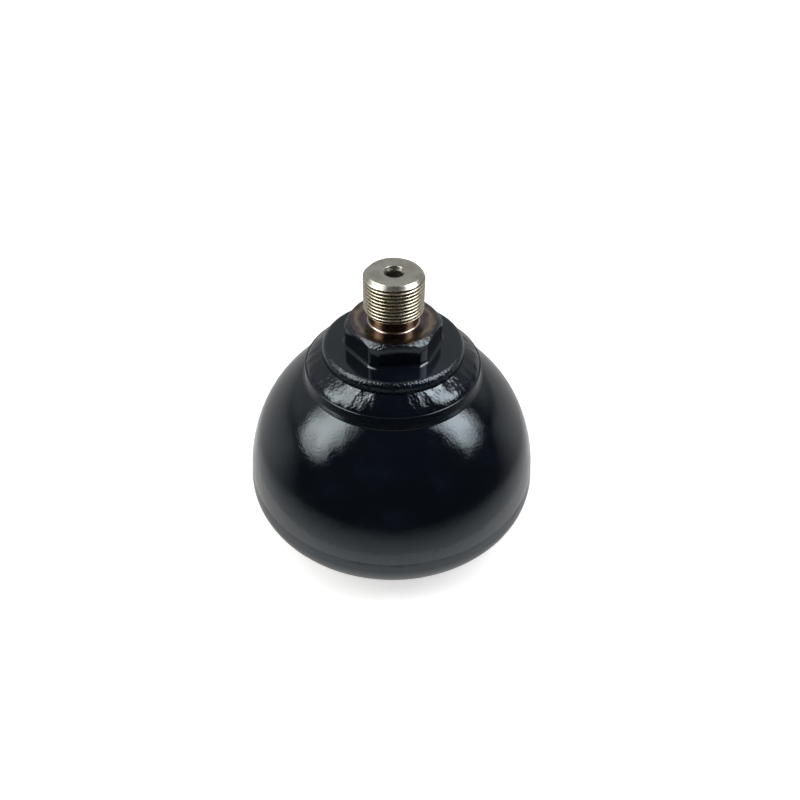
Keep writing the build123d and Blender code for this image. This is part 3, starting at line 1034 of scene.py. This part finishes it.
class SCENE_OT_accumulator_stage(Operator):
    """Make the floor, the world, the lamps and the camera"""

    bl_idname = "scene.accumulator_stage"
    bl_label = "Stage"

    def execute(self, context):
        self.floor()
        self.world()
        self.surround()
        self.lamps()
        self.camera()
        context.scene.view_settings.view_transform = "Standard"
        return {"FINISHED"}

    @staticmethod
    def floor():
        """A pale disc under the vessel, in rings that shrink steadily to a small one that is filled in. It
        glows for the camera, more with the distance, and a little in mirrored rays."""
        finish = Finish("pale_floor")
        colour = settings().finishes.floor
        cloud = finish.noise(40 * MM, detail=3)
        finish.paint_over(finish.blended(cloud, tuple(colour), scaled(colour, 0.985)))
        finish.set(roughness=0.9, specular_ior_level=0.1)
        camera = finish.node("ShaderNodeLightPath").outputs["Is Camera Ray"]
        _, distance, _ = finish.turned_place()
        near_glow, far_glow, mirrored_glow = 0.56, 1, 0.05
        seen = finish.times(camera, finish.ranged(distance, 0.3, 1.5, near_glow, far_glow))
        mirrored = finish.times(finish.background_ray(), mirrored_glow)
        finish.glow(finish.most(seen, mirrored))
        rings = np.geomspace(settings().stage.floor_radius, 20 * MM, 24)
        middle = (len(rings) - 1) * STAGE_COLUMNS + np.arange(STAGE_COLUMNS)
        profile = [(ring, 0.0) for ring in rings]
        floor = turned_sheet("floor", profile, finish.material, [middle.tolist()])

    @staticmethod
    def world():
        """White where it is seen or mirrored, and a soft even fill for everything else."""
        world = bpy.data.worlds.new("studio")
        bpy.context.scene.world = world
        nodes = Nodes(world, ("ShaderNodeTexCoord", "Generated"))
        background = nodes.found("BACKGROUND")
        background.inputs["Color"].default_value = (1, 1, 1, 1)
        fill, seen = 0.10, 1
        strength = nodes.ranged(nodes.background_ray(), 0, 1, fill, seen, smooth=False)
        nodes.link(strength, background.inputs["Strength"])

    @staticmethod
    def surround():
        """The room that the paint mirrors, as a painted reflection: a turned screen that glows and shows
        only in reflections. It lies round the vessel and rises to a ceiling. It is bright near the vessel
        and behind it, a painted reflection of the lit floor and room, and dark on the camera's side as
        painted shade. The camera doesn't see it, and it neither lights nor shades the floor."""
        profile = ((0.11, 0.001), (0.2, 0.002), (0.32, 0.006), (0.46, 0.06), (0.8, 0.18), (1.5, 0.5),
                   (1.7, 0.9), (1.4, 1.6), (0.7, 2.1), (0.02, 2.2))
        finish = Finish("painted_room_reflection")
        _, y, z = finish.split(finish.place)
        _, distance, _ = finish.turned_place()
        finish.set(base_color=(0, 0, 0, 1), specular_ior_level=0.0)
        near_glow, behind_glow, ceiling_glow = 0.85, 0.55, 0.45
        # Painted reflection of the lit floor close round the vessel, painted room light behind and above,
        # and painted shade on the camera's side
        near = finish.times(finish.ranged(distance, 0.08, 0.25, near_glow, 0),
                            finish.ranged(z, 0.1, 0.3, 1, 0))
        behind = finish.times(finish.ranged(y, -0.12, 0.10, 0, behind_glow),
                              finish.ranged(z, 0.01, 0.35, 1, 0))
        ceiling = finish.ranged(y, 0.1, 0.7, 0.02, ceiling_glow)
        finish.glow(finish.most(near, behind, ceiling))
        screen = turned_sheet("surround", profile, finish.material)
        screen.visible_camera = screen.visible_diffuse = screen.visible_shadow = False

    def lamps(self):
        """Soft windows at both sides, given by their bearing and elevation in degrees, width and height
        in metres, watts and tint. A bearing of 0 is the camera's side. It grows to the camera's right."""
        aim = Vector((0, 0, 0.6 * Z_STUD))
        distance, warm, cool = 1.1, (1.0, 0.98, 0.94), (0.98, 0.98, 1.0)
        for name, bearing, elevation, width, height, watts, colour in (
            ("left_window", -77, 37, 0.84, 1.28, 26, warm),
            ("left_skylight", -98, 64, 0.75, 0.40, 11, warm),
            ("right_window", 82, 41, 0.70, 1.10, 22, cool),
            ("right_skylight", 98, 64, 0.70, 0.40, 11, cool),
        ):
            azimuth = math.radians(bearing - 90) + settings().stage.turn
            rise = math.radians(elevation)
            level = math.cos(rise)
            away = Vector((math.cos(azimuth) * level, math.sin(azimuth) * level, math.sin(rise)))
            lamp = bpy.data.lights.new(name, "AREA")
            lamp.shape = "RECTANGLE"
            lamp.size, lamp.size_y = width, height
            lamp.energy = watts
            lamp.color = colour
            self.soften(lamp)
            holder = bpy.data.objects.new(name, lamp)
            holder.location = aim + away * distance
            holder.rotation_euler = away.to_track_quat("Z", "Y").to_euler()
            holder.visible_camera = False
            bpy.context.scene.collection.objects.link(holder)

    @staticmethod
    def soften(lamp):
        """Lets a lamp fade unevenly to its edges. The distance from its middle, in half widths, is the
        fourth root of u to the fourth plus v to the fourth. Shifted by noise, it is carried to full light
        within 0.15 and to none beyond 1."""
        nodes = Nodes(lamp, ("ShaderNodeNewGeometry", "Parametric"))
        u, v, _ = nodes.split(nodes.place)
        parts = [nodes.calculate("MULTIPLY_ADD", part, 2.0, -1.0) for part in (u, v)]
        powers = [nodes.calculate("POWER", nodes.calculate("ABSOLUTE", part), 4.0) for part in parts]
        distance = nodes.calculate("POWER", nodes.calculate("ADD", *powers), 0.25)
        stray = nodes.calculate("MULTIPLY_ADD", nodes.noise(0.22, detail=4, roughness=0.6), 0.9, -0.45)
        fade = nodes.ranged(nodes.calculate("ADD", distance, stray), 0.15, 1.0, 1.0, 0.0)
        nodes.link(fade, nodes.found("EMISSION").inputs["Strength"])

    @staticmethod
    def camera():
        """The photograph's viewpoint: level reach and rise, then pitch, yaw and roll, all turned round Z."""
        stage = settings().stage
        camera = bpy.data.cameras.new("camera")
        camera.lens = stage.lens
        camera.sensor_width = 36.0
        camera.clip_start, camera.clip_end = 0.01, 50.0
        holder = bpy.data.objects.new("camera", camera)
        place = Matrix.Translation((0.0, -stage.reach, Z_STUD + stage.rise))
        look = Matrix.Rotation(math.radians(90) - stage.pitch, 4, "X")
        sideways = Matrix.Rotation(-stage.yaw, 4, "Y")
        tilt = Matrix.Rotation(stage.roll, 4, "Z")
        holder.matrix_world = Matrix.Rotation(stage.turn, 4, "Z") @ place @ look @ sideways @ tilt
        bpy.context.scene.collection.objects.link(holder)
        bpy.context.scene.camera = holder


class VIEW3D_PT_accumulator(Panel):
    """Lists the operators in the sidebar"""

    bl_label = "Accumulator"
    bl_idname = "VIEW3D_PT_accumulator"
    bl_space_type = "VIEW_3D"
    bl_region_type = "UI"
    bl_category = "Accumulator"

    def draw(self, context):
        for operator in OPERATORS:
            self.layout.operator(operator.bl_idname)


OPERATORS = (
    OBJECT_OT_accumulator_stud,
    OBJECT_OT_accumulator_hexagon,
    OBJECT_OT_accumulator_port_weld,
    OBJECT_OT_accumulator_shells,
    OBJECT_OT_accumulator_seam_weld,
    OBJECT_OT_accumulator_gas_plug,
    OBJECT_OT_accumulator_diaphragm,
    SCENE_OT_accumulator_stage,
)
GROUPS = (PortSizes, ShellSizes, PlugSizes, Finishes, StageSettings, AccumulatorSettings)


def register():
    """Registers the classes and adds the settings to scenes."""
    for cls in (*GROUPS, *OPERATORS, VIEW3D_PT_accumulator):
        bpy.utils.register_class(cls)
    bpy.types.Scene.accumulator = PointerProperty(type=AccumulatorSettings)


def unregister():
    """Takes the settings and classes away again."""
    del bpy.types.Scene.accumulator
    for cls in reversed((*GROUPS, *OPERATORS, VIEW3D_PT_accumulator)):
        bpy.utils.unregister_class(cls)


def main():
    """Makes every piece and the stage."""
    register()
    for operator in OPERATORS:
        group, name = operator.bl_idname.split(".")
        getattr(getattr(bpy.ops, group), name)()


if __name__ == "__main__":
    main()
